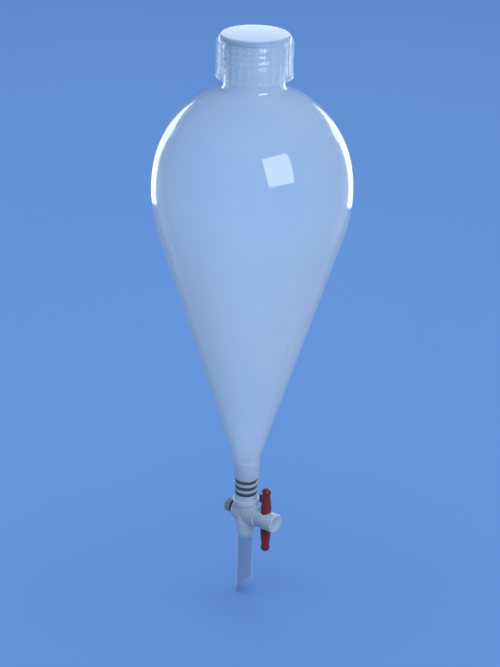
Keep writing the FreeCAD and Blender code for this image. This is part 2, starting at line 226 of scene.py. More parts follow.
def trace(name: str, points: list[Point]) -> bpy.types.Object:
    """Draws an outline beside the axis by extruding one vertex along it.

    Args:
        name: The new object's name.
        points: Radius and height of each point, in millimetres.

    Returns:
        An object that holds the outline as edges in the XZ plane.
    """
    fresh()
    bpy.ops.mesh.primitive_plane_add(size=MM, location=(points[0][0] * MM, 0.0, points[0][1] * MM))
    piece = bpy.context.object
    piece.name = name
    bpy.ops.object.transform_apply(location=True, rotation=True, scale=True)
    bpy.ops.object.mode_set(mode="EDIT")
    bpy.ops.mesh.merge(type="CENTER")
    for (r0, z0), (r1, z1) in zip(points, points[1:]):
        step = ((r1 - r0) * MM, 0.0, (z1 - z0) * MM)
        bpy.ops.mesh.extrude_vertices_move(TRANSFORM_OT_translate={"value": step})
    bpy.ops.object.mode_set(mode="OBJECT")
    return piece


def sweep(outline: bpy.types.Object, sides: int, turns: float = 1.0, pitch: float = 0.0) -> None:
    """Sweeps an outline about the funnel's axis, as a ring or a screw.

    Args:
        outline: The outline, which becomes a surface.
        sides: How many flats go round it.
        turns: How many turns it makes.
        pitch: How far it rises in a turn, in millimetres. A ring has none.
    """
    steps = round(sides * turns)
    modify(
        outline,
        "SCREW",
        axis="Z",
        angle=TURN * turns,
        screw_offset=pitch * turns * MM,
        steps=steps,
        render_steps=steps,
        use_merge_vertices=not pitch,
        merge_threshold=MERGE,
    )


def turned(name: str, points: list[Point], sides: int) -> bpy.types.Object:
    """A closed solid of revolution about the funnel's axis.

    Args:
        name: The new piece's name.
        points: Its outline, closed or with both ends on the axis, in millimetres.
        sides: How many flats go round it.

    Returns:
        The piece.
    """
    piece = trace(name, points)
    sweep(piece, sides)
    tidy_mesh(piece)
    return piece


def bar(name: str, radius: float, low: float, high: float, sides: int = 64) -> bpy.types.Object:
    """A plain round bar on the funnel's axis, for cutting or joining. Sizes in millimetres."""
    return turned(name, [(0.0, low), (radius, low), (radius, high), (0.0, high)], sides)


def block(name: str, low: Vector, high: Vector) -> bpy.types.Object:
    """A box for cutting or joining.

    Args:
        name: The new object's name.
        low: Its lowest corner, in millimetres.
        high: Its highest corner, in millimetres.

    Returns:
        The box.
    """
    fresh()
    bpy.ops.mesh.primitive_cube_add(size=1.0, location=(low + high) / 2.0 * MM, scale=(high - low) * MM)
    piece = bpy.context.object
    piece.name = name
    bpy.ops.object.transform_apply(location=True, rotation=True, scale=True)
    return piece


def place(piece: bpy.types.Object, shift: Vector, axis: Axis = Axis.FUNNEL, turn: float = 0.0) -> None:
    """Turns a piece about the funnel's axis, lays it along the plug's axis if asked, and moves it.

    Args:
        piece: The piece, made on the funnel's axis.
        shift: How far it moves, in millimetres.
        axis: The axis that it ends up along.
        turn: Its turn about its own axis before that, in degrees.
    """
    settle(piece)
    if turn:
        piece.rotation_euler = (0.0, 0.0, math.radians(turn))
        bpy.ops.object.transform_apply(location=False, rotation=True, scale=False)
    if axis is Axis.PLUG:
        piece.rotation_euler = (0.0, math.pi / 2.0, 0.0)
    piece.location = shift * MM
    bpy.ops.object.transform_apply(location=True, rotation=True, scale=False)


def twin_of(piece: bpy.types.Object, name: str, shift: Vector, turn: float = 0.0) -> bpy.types.Object:
    """Copies a piece with a mesh of its own.

    Args:
        piece: The piece.
        name: The copy's name.
        shift: How far the copy moves, in millimetres.
        turn: Its turn about the funnel's axis, in degrees.

    Returns:
        The copy.
    """
    twin = piece.copy()
    twin.data = piece.data.copy()
    twin.name = name
    bpy.context.scene.collection.objects.link(twin)
    place(twin, shift, turn=turn)
    return twin


def copy_round(piece: bpy.types.Object, count: int) -> bpy.types.Object:
    """Copies a piece round the funnel's axis and joins the copies into one mesh.

    Args:
        piece: The piece, at its first place.
        count: How many places there are.

    Returns:
        The joined piece.
    """
    copies = [piece]
    for i in range(1, count):
        copies.append(twin_of(piece, piece.name, Vector(), 360.0 * i / count))
    settle(piece)
    for twin in copies:
        twin.select_set(True)
    bpy.ops.object.join()
    return piece


@dataclass(frozen=True)
class Thread:
    """A right-hand thread whose ridge stands out from a bar or into a bore. Sizes in millimetres."""

    root_r: float
    tip_r: float
    base: float
    crest: float
    pitch: float
    turns: float
    low: float
    sides: int = 96
    sunk: float = 0.3

    def ridge(self, name: str) -> bpy.types.Object:
        """Makes the ridge as a closed solid with sloping ends.

        Args:
            name: The new object's name.

        Returns:
            The ridge, sunk a little into what carries it.
        """
        outward = 1.0 if self.tip_r > self.root_r else -1.0
        foot_r = self.root_r - outward * self.sunk
        spread = self.base + (self.base - self.crest) * self.sunk / abs(self.tip_r - self.root_r)
        points = [
            (foot_r, self.low - spread / 2.0),
            (self.tip_r, self.low - self.crest / 2.0),
            (self.tip_r, self.low + self.crest / 2.0),
            (foot_r, self.low + spread / 2.0),
            (foot_r, self.low - spread / 2.0),
        ]
        piece = trace(name, points)
        sweep(piece, self.sides, self.turns, self.pitch)
        tidy_mesh(piece)
        bpy.ops.object.mode_set(mode="EDIT")
        bpy.ops.mesh.select_all(action="SELECT")
        bpy.ops.mesh.fill_holes(sides=6)
        bpy.ops.mesh.select_all(action="SELECT")
        bpy.ops.mesh.normals_make_consistent(inside=False)
        bpy.ops.object.mode_set(mode="OBJECT")
        self._run_out(piece, foot_r)
        return piece

    def _run_out(self, piece: bpy.types.Object, foot_r: float) -> None:
        """Sinks both ends of the ridge into the wall over about a twelfth of a turn.

        Args:
            piece: The ridge.
            foot_r: The radius that its ends sink to, in millimetres.
        """
        settle(piece)
        reach = self.root_r * MM * TURN / 12.0
        sink = foot_r / self.tip_r
        for end in (0.0, self.turns):
            angle = TURN * end
            height = (self.low + self.pitch * end) * MM
            tip = Vector((math.cos(angle), math.sin(angle), 0.0)) * self.tip_r * MM
            tip.z = height
            bpy.ops.object.mode_set(mode="EDIT")
            bpy.ops.mesh.select_all(action="DESELECT")
            bpy.ops.object.mode_set(mode="OBJECT")
            for vertex in piece.data.vertices:
                vertex.select = (vertex.co - tip).length < self.base * MM
            bpy.ops.object.mode_set(mode="EDIT")
            bpy.ops.transform.resize(
                value=(sink, sink, 1.0),
                center_override=(0.0, 0.0, height),
                use_proportional_edit=True,
                use_proportional_connected=True,
                proportional_edit_falloff="SMOOTH",
                proportional_size=reach,
            )
            bpy.ops.object.mode_set(mode="OBJECT")


# ---- Shader graph --------------------------------------------------------------------------------
class Value:
    """A number that flows between shader nodes, with the arithmetic of a plain number."""

    def __init__(self, graph: "Graph", socket: bpy.types.NodeSocket) -> None:
        """Wraps an output socket of one graph."""
        self.graph = graph
        self.socket = socket

    def _maths(self, operation: str, first: object, second: object = None) -> "Value":
        """Adds one Math node and returns its result."""
        inputs = {0: first} if second is None else {0: first, 1: second}
        return self.graph.node("ShaderNodeMath", {"operation": operation}, inputs)

    def __add__(self, other: object) -> "Value":
        """self + other."""
        return self._maths("ADD", self, other)

    __radd__ = __add__

    def __sub__(self, other: object) -> "Value":
        """self - other."""
        return self._maths("SUBTRACT", self, other)

    def __rsub__(self, other: object) -> "Value":
        """other - self."""
        return self._maths("SUBTRACT", other, self)

    def __mul__(self, other: object) -> "Value":
        """self * other."""
        return self._maths("MULTIPLY", self, other)

    __rmul__ = __mul__

    def __truediv__(self, other: object) -> "Value":
        """self / other."""
        return self._maths("DIVIDE", self, other)

    def __rtruediv__(self, other: object) -> "Value":
        """other / self."""
        return self._maths("DIVIDE", other, self)

    def __neg__(self) -> "Value":
        """-self."""
        return self._maths("MULTIPLY", self, -1.0)

    def at_least(self, other: object) -> "Value":
        """The larger of the two."""
        return self._maths("MAXIMUM", self, other)

    def exp(self) -> "Value":
        """e to the power of self."""
        return self._maths("EXPONENT", self)


class Graph:
    """The node graph of one material."""

    def __init__(self, name: str) -> None:
        """Starts an empty graph in a new material."""
        self.material = bpy.data.materials.new(name)
        self.material.use_nodes = True
        self.tree = self.material.node_tree
        self.tree.nodes.clear()

    def node(
        self, kind: str, settings: dict[str, object], inputs: dict[object, object], output: object = 0
    ) -> Value:
        """Adds a node.

        Args:
            kind: The node's type.
            settings: Its settings by name, set before its sockets. The stops of a ramp go under "stops".
            inputs: Numbers, colours or values for its sockets, by name or place.
            output: The name or place of the output that is returned.

        Returns:
            The output as a value.
        """
        made = self.tree.nodes.new(kind)
        for name, value in settings.items():
            if name == "stops":
                self._stops(made, value)
            else:
                setattr(made, name, value)
        for name, value in inputs.items():
            socket = made.inputs[name]
            if isinstance(value, Value):
                self.tree.links.new(value.socket, socket)
            else:
                socket.default_value = value
        return Value(self, made.outputs[output])

    @staticmethod
    def _stops(ramp: bpy.types.Node, stops: list[tuple[float, Colour]]) -> None:
        """Sets the stops of a colour ramp.

        Args:
            ramp: The ramp's node.
            stops: Places from 0 to 1, each with its colour.
        """
        elements = ramp.color_ramp.elements
        while len(elements) < len(stops):
            elements.new(1.0)
        for element, (position, colour) in zip(elements, stops):
            element.position = position
            element.color = (*colour, 1.0)

    def position(self, stretch: tuple[float, float, float] = (1.0, 1.0, 1.0)) -> Value:
        """The place on the piece in its own coordinates, stretched along each axis."""
        own = self.node("ShaderNodeTexCoord", {}, {}, "Object")
        return self.node("ShaderNodeMapping", {}, {"Vector": own, "Scale": stretch})

    def noise(self, scale: float, detail: float = 3.0, where: Value | None = None) -> Value:
        """Soft noise from 0 to 1.

        Args:
            scale: How many lumps there are to a metre.
            detail: How many finer octaves it has.
            where: Stretched coordinates, if not the plain ones.

        Returns:
            The noise.
        """
        vector = where or self.position()
        inputs = {"Vector": vector, "Scale": scale, "Detail": detail, "Roughness": 0.55}
        return self.node("ShaderNodeTexNoise", {}, inputs, "Fac")

    def by_height(self, steps: tuple[Point, ...]) -> Value:
        """A number that follows the height on the piece.

        Args:
            steps: Heights in millimetres from the lowest up, each with its number from 0 to 1.

        Returns:
            The number, blended evenly from step to step.
        """
        low, high = steps[0][0], steps[-1][0]
        height = self.node("ShaderNodeSeparateXYZ", {}, {"Vector": self.position()}, "Z")
        stops = [((at - low) / (high - low), (number, number, number)) for at, number in steps]
        share = (height / MM - low) / (high - low)
        return self.node("ShaderNodeValToRGB", {"stops": stops}, {"Fac": share})

    def blend(self, share: object, first: Colour | Value, second: Colour | Value) -> Value:
        """Mixes two colours.

        Args:
            share: How much of the second colour there is, from 0 to 1.
            first: The first colour.
            second: The second colour.

        Returns:
            The mixed colour.
        """
        colours = [c if isinstance(c, Value) else (*c, 1.0) for c in (first, second)]
        inputs = {0: share, 6: colours[0], 7: colours[1]}
        return self.node("ShaderNodeMix", {"data_type": "RGBA"}, inputs, 2)

    def bump(self, height: Value, strength: float, distance: float) -> Value:
        """A bump map from a height, with its depth in metres."""
        inputs = {"Height": height, "Strength": strength, "Distance": distance}
        return self.node("ShaderNodeBump", {}, inputs)

    def principled(self, **inputs: object) -> Value:
        """A Principled shader with these sockets, spaces in their names written as underscores."""
        named = {name.replace("_", " "): value for name, value in inputs.items()}
        return self.node("ShaderNodeBsdfPrincipled", {}, named)

    def mix(self, share: object, first: Value, second: Value) -> Value:
        """Mixes two shaders by a share from 0 to 1."""
        return self.node("ShaderNodeMixShader", {}, {0: share, 1: first, 2: second})

    def finish(self, surface: Value) -> bpy.types.Material:
        """Connects the surface.

        Args:
            surface: The shader of the whole surface.

        Returns:
            The material.
        """
        output = self.tree.nodes.new("ShaderNodeOutputMaterial")
        self.tree.links.new(surface.socket, output.inputs["Surface"])
        return self.material


# ---- Finishes ------------------------------------------------------------------------------------
@dataclass(frozen=True)
class TranslucentPlastic:
    """A glossy plastic that light passes: each skin is a thin veil that thickens where it is seen edge on."""

    name: str
    light_colour: Colour
    deep_colour: Colour
    veil: float
    cloudiness: float = 0.3
    glow: float = 0.35
    roughness: float = 0.05
    index: float = 3.6
    waves: float = 0.0003
    edge_colour: Colour = (0.32, 0.45, 0.66)
    edge: float = 0.6
    clear: Colour = (1.0, 1.0, 1.0)
    veil_steps: tuple[Point, ...] = ()
    cloud_scale: float = 16.0
    streak_scale: float = 70.0
    streak_stretch: float = 0.06
    speckle_scale: float = 1400.0
    ripple_scale: float = 24.0
    least_square_on: float = 0.04

    def material(self) -> bpy.types.Material:
        """Makes the material. A thin veil needs a high index, because it dims its own gloss.

        Returns:
            The material.
        """
        graph = Graph(self.name)
        clouds = graph.noise(self.cloud_scale, 3.0)
        streaks = graph.noise(self.streak_scale, 2.0, graph.position((1.0, 1.0, self.streak_stretch)))
        speckle = graph.noise(self.speckle_scale, 2.0)
        facing = graph.node("ShaderNodeLayerWeight", {}, {"Blend": 0.5}, "Facing")
        square_on = (1.0 - facing).at_least(self.least_square_on)
        drift = 1.0 + (clouds + streaks - 1.0) * self.cloudiness
        veil = graph.by_height(self.veil_steps) if self.veil_steps else self.veil
        share = 1.0 - (-(drift * veil) / square_on).exp()
        plain = graph.blend(clouds, self.deep_colour, self.light_colour)
        edge_on = (facing - (1.0 - self.edge)).at_least(0.0) * (1.0 / self.edge)
        colour = graph.blend(edge_on * edge_on, plain, self.edge_colour)
        height = graph.noise(self.ripple_scale, 2.0) + speckle * 0.01
        skin = graph.principled(
            Base_Color=colour,
            Roughness=self.roughness + streaks * 0.03 + speckle * 0.02,
            IOR=self.index,
            Normal=graph.bump(height, 0.5, self.waves),
        )
        through = graph.node("ShaderNodeBsdfTranslucent", {}, {"Color": (*self.deep_colour, 1.0)})
        wall = graph.mix(self.glow, skin, through)
        clear = graph.node("ShaderNodeBsdfTransparent", {}, {"Color": (*self.clear, 1.0)})
        return graph.finish(graph.mix(share, clear, wall))


@dataclass(frozen=True)
class MouldedPlastic:
    """An opaque moulded or turned plastic with slight colour drift, a fine skin and optional turning marks."""

    name: str
    light_colour: Colour
    deep_colour: Colour
    roughness: float
    subsurface: float = 0.0
    coat: float = 0.0
    grain_depth: float = 0.00004
    drift_scale: float = 90.0
    grain_scale: float = 2600.0
    mark_scale: float = 900.0
    turning_marks: bool = False

    def material(self) -> bpy.types.Material:
        """Makes the material.

        Returns:
            The material.
        """
        graph = Graph(self.name)
        drift = graph.noise(self.drift_scale, 4.0)
        grain = graph.noise(self.grain_scale, 3.0)
        height = grain
        if self.turning_marks:
            inputs = {"Vector": graph.position(), "Scale": self.mark_scale, "Distortion": 0.4, "Detail": 1.0}
            marks = graph.node("ShaderNodeTexWave", {"bands_direction": "X"}, inputs, "Fac")
            height = grain * 0.5 + marks * 0.5
        skin = graph.principled(
            Base_Color=graph.blend(drift, self.deep_colour, self.light_colour),
            Roughness=self.roughness + (grain - 0.5) * 0.14 + (drift - 0.5) * 0.08,
            Subsurface_Weight=self.subsurface,
            Subsurface_Radius=(0.0012, 0.0011, 0.001),
            Subsurface_Scale=1.0,
            Coat_Weight=self.coat,
            Coat_Roughness=0.15,
            Normal=graph.bump(height, 0.5, self.grain_depth),
        )
        return graph.finish(skin)


@dataclass(frozen=True)
class Elastomer:
    """Dark seal rubber with a soft sheen and a dusty bloom."""

    name: str = "seal_black"
    colour: Colour = (0.004, 0.016, 0.040)
    bloom: Colour = (0.010, 0.030, 0.062)
    roughness: float = 0.42
    dust_scale: float = 320.0
    grain_scale: float = 3500.0
    grain_depth: float = 0.00003

    def material(self) -> bpy.types.Material:
        """Makes the material.

        Returns:
            The material.
        """
        graph = Graph(self.name)
        dust = graph.noise(self.dust_scale, 4.0)
        grain = graph.noise(self.grain_scale, 2.0)
        skin = graph.principled(
            Base_Color=graph.blend(dust, self.colour, self.bloom),
            Roughness=self.roughness + dust * 0.2,
            Normal=graph.bump(grain, 0.4, self.grain_depth),
        )
        return graph.finish(skin)


@dataclass(frozen=True)
class PlainFloor:
    """The plain blue floor and its upturned edge."""

    name: str = "plain_floor"
    colour: Colour = (0.192, 0.43, 0.96)
    roughness: float = 0.8
    drift_scale: float = 3.0
    drift: float = 1.04

    def material(self) -> bpy.types.Material:
        """Makes the material.

        Returns:
            The material.
        """
        graph = Graph(self.name)
        lighter = tuple(c * self.drift for c in self.colour)
        colour = graph.blend(graph.noise(self.drift_scale, 2.0), self.colour, lighter)
        return graph.finish(graph.principled(Base_Color=colour, Roughness=self.roughness))


def dress(piece: bpy.types.Object, material: bpy.types.Material) -> None:
    """Gives a piece one material all over."""
    piece.data.materials.clear()
    piece.data.materials.append(material)


def line_inside(piece: bpy.types.Object, material: bpy.types.Material, below: float = math.inf) -> None:
    """Gives the faces that look towards the funnel's axis a second material.

    Args:
        piece: The piece, dressed already.
        material: The second material.
        below: Only faces below this height get it, in millimetres.
    """
    piece.data.materials.append(material)
    for face in piece.data.polygons:
        inward = face.normal.x * face.center.x + face.normal.y * face.center.y < 0.0
        if inward and face.center.z / MM < below:
            face.material_index = 1


class Materials:
    """Every finish of the funnel, made once and shared."""

    def __init__(self) -> None:
        """Makes the materials."""
        self._vessel_and_stem()
        self._closure()
        self._stopcock()

    def _vessel_and_stem(self) -> None:
        """Makes the milky skins. The vessel's wall is cloudier at some heights, in millimetres, than at others."""
        veil = TranslucentPlastic(
            "milky_fluoropolymer", (0.80, 0.90, 1.0), (0.66, 0.78, 0.93), veil=0.14, index=4.0, glow=0.25
        )
        tube = ((-166.5, 0.03), (-148.5, 0.03), (-143.5, 0.40), (-127.0, 0.40), (-108.0, 0.25))
        bulb = ((-20.0, 0.26), (70.0, 0.185), (130.0, 0.145), (160.0, 0.14))
        neck = ((173.0, 0.24), (180.0, 0.36))
        skin = replace(veil, veil_steps=tube + bulb + neck)
        self.milky = skin.material()
        self.milky_inside = replace(skin, name="milky_inside", index=1.35, roughness=0.16).material()
        self.stem = replace(
            veil, name="stem_skin", veil=0.10, index=2.2, edge_colour=(0.86, 0.94, 1.0), edge=0.7
        ).material()
        # The stem's inner skin greys what is seen through the bore: painted shade inside the bore.
        self.stem_inside_painted_shade = replace(
            veil, name="stem_inside_painted_shade", veil=0.05, index=1.6, roughness=0.16, clear=(0.68, 0.74, 0.79)
        ).material()

    def _closure(self) -> None:
        """Makes the cap's four skins and the liner's foam."""
        cap = TranslucentPlastic("cap_plastic", (0.78, 0.90, 1.0), (0.66, 0.78, 0.92), veil=0.16, index=3.6)
        thick = replace(cap, index=1.5)
        self.cap = cap.material()
        self.cap_inside = replace(thick, name="cap_inside", roughness=0.16).material()
        # The top disc and its rounded edge get darker, bluer copies of the cap's colour: painted shade. Their
        # milkier veil stands for thicker plastic.
        self.cap_corner_painted_shade = replace(
            thick, name="cap_corner_painted_shade", light_colour=(0.58, 0.75, 1.0), deep_colour=(0.52, 0.69, 0.95), veil=0.5
        ).material()
        self.cap_top_painted_shade = replace(
            thick, name="cap_top_painted_shade", light_colour=(0.50, 0.68, 0.92), deep_colour=(0.44, 0.61, 0.86), veil=1.2
        ).material()
        self.liner = MouldedPlastic("liner_foam", (0.36, 0.50, 0.72), (0.30, 0.43, 0.65), 0.7).material()

    def _stopcock(self) -> None:
        """Makes the finishes of the body, plug, handle, nut and seals."""
        self.white = TranslucentPlastic(
            "stopcock_white", (0.82, 0.92, 1.0), (0.72, 0.82, 0.95), veil=1.1, roughness=0.22, index=1.6
        ).material()
        self.nut = MouldedPlastic(
            "nut_white", (0.30, 0.42, 0.50), (0.23, 0.34, 0.41), 0.35, subsurface=0.2
        ).material()
        self.plug = MouldedPlastic(
            "plug_white", (0.48, 0.62, 0.84), (0.40, 0.53, 0.75), 0.32, subsurface=0.3, turning_marks=True
        ).material()
        self.red = MouldedPlastic(
            "handle_red", (0.27, 0.015, 0.009), (0.16, 0.009, 0.007), 0.38, coat=0.05
        ).material()
        self.seal = Elastomer().material()


def attach(piece: bpy.types.Object, body: str, slot: str, *nodes: str) -> None:
    """Lets a finished piece ride on its body and stand for its nodes, and reports it.

    Args:
        piece: The finished piece.
        body: The body that it moves with.
        slot: A material slot's name. Not used.
        nodes: The nodes that it stands for.
    """
    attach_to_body(piece, body)
    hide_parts(*nodes)
    LOG.info("%s: %d faces, on %s", piece.name, len(piece.data.polygons), body)


# ---- Sub-assemblies ------------------------------------------------------------------------------
@dataclass
class Vessel:
    """The bulb with its threaded neck and the tube under its cone. Sizes in millimetres."""

    seat_r: float = 50.8
    bulb_r: float = 73.4
    cone_angle: float = 17.26
    side_arc_r: float = 110.0
    crown_arc_r: float = 104.5
    crown_turn: float = 10.4
    shoulder_arc_r: float = 73.9
    wall: float = 1.3
    neck_r: float = 22.0
    neck_bore_r: float = 19.5
    tube_r: float = 10.2
    tube_end_r: float = 9.75
    tube_bore_r: float = 8.7
    neck_fillet: float = 4.5
    neck_fillet_inside: float = 6.0
    tube_fillet: float = 35.0
    tube_fillet_inside: float = 15.0
    rim_round: float = 0.8
    tube_end_round: float = 0.3
    thread_height: float = 1.2
    thread_base: float = 3.6
    thread_crest: float = 0.6
    thread_pitch: float = 4.23
    thread_turns: float = 4.0
    thread_below_rim: float = 3.5
    cone_steps: int = 12
    sides: int = 192

    def __post_init__(self) -> None:
        """Works out the arcs' centres from the sizes."""
        low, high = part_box("funnel_body")
        self.tube_end_z = low.z / MM
        self.rim_z = high.z / MM
        cone = math.radians(self.cone_angle)
        crown = math.radians(self.crown_turn)
        self.tangent_r = self.bulb_r - self.side_arc_r * (1.0 - math.cos(cone))
        self.tangent_z = (self.tangent_r - self.seat_r) / math.tan(cone)
        self.equator_z = self.tangent_z + self.side_arc_r * math.sin(cone)
        self.shoulder_r = (
            self.bulb_r - self.crown_arc_r * (1.0 - math.cos(crown)) - self.shoulder_arc_r * math.cos(crown)
        )
        self.shoulder_z = self.equator_z + (self.crown_arc_r - self.shoulder_arc_r) * math.sin(crown)

    def side(self, wall: float, top: Point, low_r: float, low_end_r: float, low_fillet: float) -> list[Point]:
        """The vessel's side from the rim down to the end of the tube.

        Args:
            wall: How far the side is moved inwards.
            top: The neck's radius there and the radius of the fillet at its foot.
            low_r: The tube's radius under the cone.
            low_end_r: Its radius at its end.
            low_fillet: Radius of the fillet between cone and tube.

        Returns:
            The points in millimetres.
        """
        top_r, top_fillet = top
        cone = math.radians(self.cone_angle)
        crown = math.radians(self.crown_turn)
        arc_r = self.shoulder_arc_r - wall
        out = top_r + top_fillet - self.shoulder_r
        rise = math.sqrt((arc_r + top_fillet) ** 2 - out**2)
        share = arc_r / (arc_r + top_fillet)
        foot = (top_r, self.shoulder_z + rise)
        shoulder = (self.shoulder_r + out * share, self.shoulder_z + rise * share)
        crown_end = (self.shoulder_r + arc_r * math.cos(crown), self.shoulder_z + arc_r * math.sin(crown))
        equator = (self.bulb_r - wall, self.equator_z)
        tangent = (self.tangent_r - wall * math.cos(cone), self.tangent_z + wall * math.sin(cone))
        blend_r = low_r + low_fillet
        blend_z = ((blend_r - self.seat_r) * math.cos(cone) + wall - low_fillet) / math.sin(cone)
        cone_end = (blend_r - low_fillet * math.cos(cone), blend_z + low_fillet * math.sin(cone))
        points = [(top_r, self.rim_z)]
        points += arc_points((top_r + top_fillet, foot[1]), foot, shoulder, 12.0)
        points += arc_points((self.shoulder_r, self.shoulder_z), shoulder, crown_end, 2.5)[1:]
        points += arc_points((self.bulb_r - self.crown_arc_r, self.equator_z), crown_end, equator, 2.0)[1:]
        points += arc_points((self.bulb_r - self.side_arc_r, self.equator_z), equator, tangent, 2.0)[1:]
        for i in range(1, self.cone_steps):
            t = i / self.cone_steps
            r = tangent[0] + (cone_end[0] - tangent[0]) * t
            points.append((r, tangent[1] + (cone_end[1] - tangent[1]) * t))
        points += arc_points((blend_r, blend_z), cone_end, (low_r, blend_z), 3.0)
        points.append((low_end_r, self.tube_end_z))
        return points

    def build(self, materials: Materials) -> None:
        """Makes the vessel with its neck thread.

        Args:
            materials: The finishes.
        """
        neck = (self.neck_r, self.neck_fillet)
        neck_inside = (self.neck_bore_r, self.neck_fillet_inside)
        bore_r = self.tube_bore_r
        outside = self.side(0.0, neck, self.tube_r, self.tube_end_r, self.tube_fillet)
        inside = self.side(self.wall, neck_inside, bore_r, bore_r, self.tube_fillet_inside)
        loop = [Corner(*outside[0], self.rim_round)]
        loop += [Corner(*p) for p in outside[1:-1]]
        loop += [Corner(*outside[-1], self.tube_end_round), Corner(*inside[-1], self.tube_end_round)]
        loop += [Corner(*p) for p in reversed(inside[1:-1])]
        loop += [Corner(*inside[0], self.rim_round)]
        piece = turned("bulb_neck_and_tube", rounded(loop, closed=True), self.sides)
        thread = Thread(
            root_r=self.neck_r,
            tip_r=self.neck_r + self.thread_height,
            base=self.thread_base,
            crest=self.thread_crest,
            pitch=self.thread_pitch,
            turns=self.thread_turns,
            low=self.rim_z - self.thread_below_rim - self.thread_turns * self.thread_pitch,
        )
        combine(piece, thread.ridge("neck_thread"), Join.ADD)
        smooth(piece, 70.0)
        dress(piece, materials.milky)
        line_inside(piece, materials.milky_inside)
        attach(piece, "vessel", "milky_fluoropolymer", "funnel_body")


@dataclass
class Closure:
    """The ribbed screw cap and the liner inside it. Sizes in millimetres."""

    cap_r: float = 25.9
    bore_r: float = 23.55
    corner_r: float = 2.9
    top: float = 2.6
    ceiling_round: float = 0.8
    edge_round: float = 0.5
    rib_count: int = 30
    rib_height: float = 1.6
    rib_round: float = 0.4
    rib_below_top: float = 4.8
    rib_above_bead: float = 0.2
    bead_height: float = 1.8
    bead_r: float = 27.65
    bead_foot_round: float = 0.3
    thread_height: float = 1.2
    thread_base: float = 2.4
    thread_crest: float = 1.0
    thread_pitch: float = 4.23
    thread_turns: float = 3.5
    liner_round: float = 0.3
    disc_rise: float = 0.8
    corner_rise: float = 0.1
    sides: int = 240

    def build(self, materials: Materials, vessel: Vessel) -> None:
        """Makes both pieces.

        Args:
            materials: The finishes.
            vessel: The vessel that the cap screws onto.
        """
        self._cap(materials, vessel)
        self._liner(materials)

    def _cap(self, materials: Materials, vessel: Vessel) -> None:
        """Makes the cap, with its thread half a pitch from the neck's.

        Args:
            materials: The finishes.
            vessel: The vessel that the cap screws onto.
        """
        low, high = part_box("screw_cap")
        base, crown = low.z / MM, high.z / MM
        ceiling = crown - self.top
        rib_top = crown - self.rib_below_top
        bead_top = base + self.bead_height
        corners = [
            Corner(0.0, crown),
            Corner(self.cap_r, crown, self.corner_r),
            Corner(self.cap_r, rib_top),
            Corner(self.cap_r, bead_top, self.bead_foot_round),
            Corner(self.bead_r, bead_top, self.edge_round),
            Corner(self.bead_r, base, self.edge_round),
            Corner(self.bore_r, base, self.edge_round),
            Corner(self.bore_r, ceiling, self.ceiling_round),
            Corner(0.0, ceiling),
        ]
        piece = turned("ribbed_cap", rounded(corners, closed=False), self.sides)
        self._raise_ribs(piece, bead_top, rib_top)
        ridge_low = vessel.rim_z - vessel.thread_below_rim - (vessel.thread_turns - 0.5) * self.thread_pitch
        thread = Thread(
            root_r=self.bore_r,
            tip_r=self.bore_r - self.thread_height,
            base=self.thread_base,
            crest=self.thread_crest,
            pitch=self.thread_pitch,
            turns=self.thread_turns,
            low=ridge_low,
        )
        combine(piece, thread.ridge("cap_thread"), Join.ADD)
        smooth(piece, 35.0)
        dress(piece, materials.cap)
        line_inside(piece, materials.cap_inside)
        self._dress_top(piece, materials, crown)
        attach(piece, "cap", "cap_plastic", "screw_cap")

    def _liner(self, materials: Materials) -> None:
        """Makes the sealing liner.

        Args:
            materials: The finishes.
        """
        low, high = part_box("cap_liner")
        corners = [
            Corner(0.0, high.z / MM),
            Corner(high.x / MM, high.z / MM, self.liner_round),
            Corner(high.x / MM, low.z / MM, self.liner_round),
            Corner(0.0, low.z / MM),
        ]
        liner = turned("sealing_liner", rounded(corners, closed=False), 128)
        smooth(liner)
        dress(liner, materials.liner)
        attach(liner, "liner", "liner_foam", "cap_liner")

    def _dress_top(self, piece: bpy.types.Object, materials: Materials, crown: float) -> None:
        """Gives the disc on top of the cap and its rounded edge finishes of their own: a milkier veil, as they are
        thicker, and darker, bluer colours picked by which way the faces point, which is painted shade.

        Args:
            piece: The cap, dressed inside and out already.
            materials: The finishes.
            crown: The height of the cap's top, in millimetres.
        """
        piece.data.materials.append(materials.cap_top_painted_shade)
        piece.data.materials.append(materials.cap_corner_painted_shade)
        # Faces are sorted by which way they point, so the top and its edge carry the painted shade.
        for face in piece.data.polygons:
            rise = face.normal.z
            if rise > self.corner_rise and face.center.z / MM > crown - self.corner_r:
                face.material_index = 2 if rise > self.disc_rise else 3

    def _raise_ribs(self, piece: bpy.types.Object, low: float, high: float) -> None:
        """Extrudes the grip ribs from the cap's side and rounds them.

        Args:
            piece: The cap, still smooth outside.
            low: The top of the bead, where the ribs start, in millimetres.
            high: Where they end, in millimetres.
        """
        pitch = 360.0 / self.rib_count
        settle(piece)
        bpy.ops.object.mode_set(mode="EDIT")
        bpy.ops.mesh.select_all(action="DESELECT")
        bpy.ops.mesh.select_mode(type="FACE")
        bpy.ops.object.mode_set(mode="OBJECT")
        for face in piece.data.polygons:
            centre = face.center / MM
            radius = math.hypot(centre.x, centre.y)
            from_rib = (math.degrees(math.atan2(centre.y, centre.x)) + pitch / 2.0) % pitch - pitch / 2.0
            on_side = abs(radius - self.cap_r) < 0.1 and low + self.rib_above_bead < centre.z < high
            face.select = on_side and abs(from_rib) < 360.0 / self.sides
        bpy.ops.object.mode_set(mode="EDIT")
        swell = (self.cap_r + self.rib_height) / self.cap_r
        bpy.ops.mesh.extrude_region_move(TRANSFORM_OT_translate={"value": (0.0, 0.0, 0.0)})
        bpy.ops.transform.resize(value=(swell, swell, 1.0), center_override=(0.0, 0.0, 0.0))
        bpy.ops.mesh.region_to_loop()
        bpy.ops.mesh.bevel(offset=self.rib_round * MM, segments=3, affect="EDGES")
        bpy.ops.mesh.select_mode(type="VERT")
        bpy.ops.object.mode_set(mode="OBJECT")


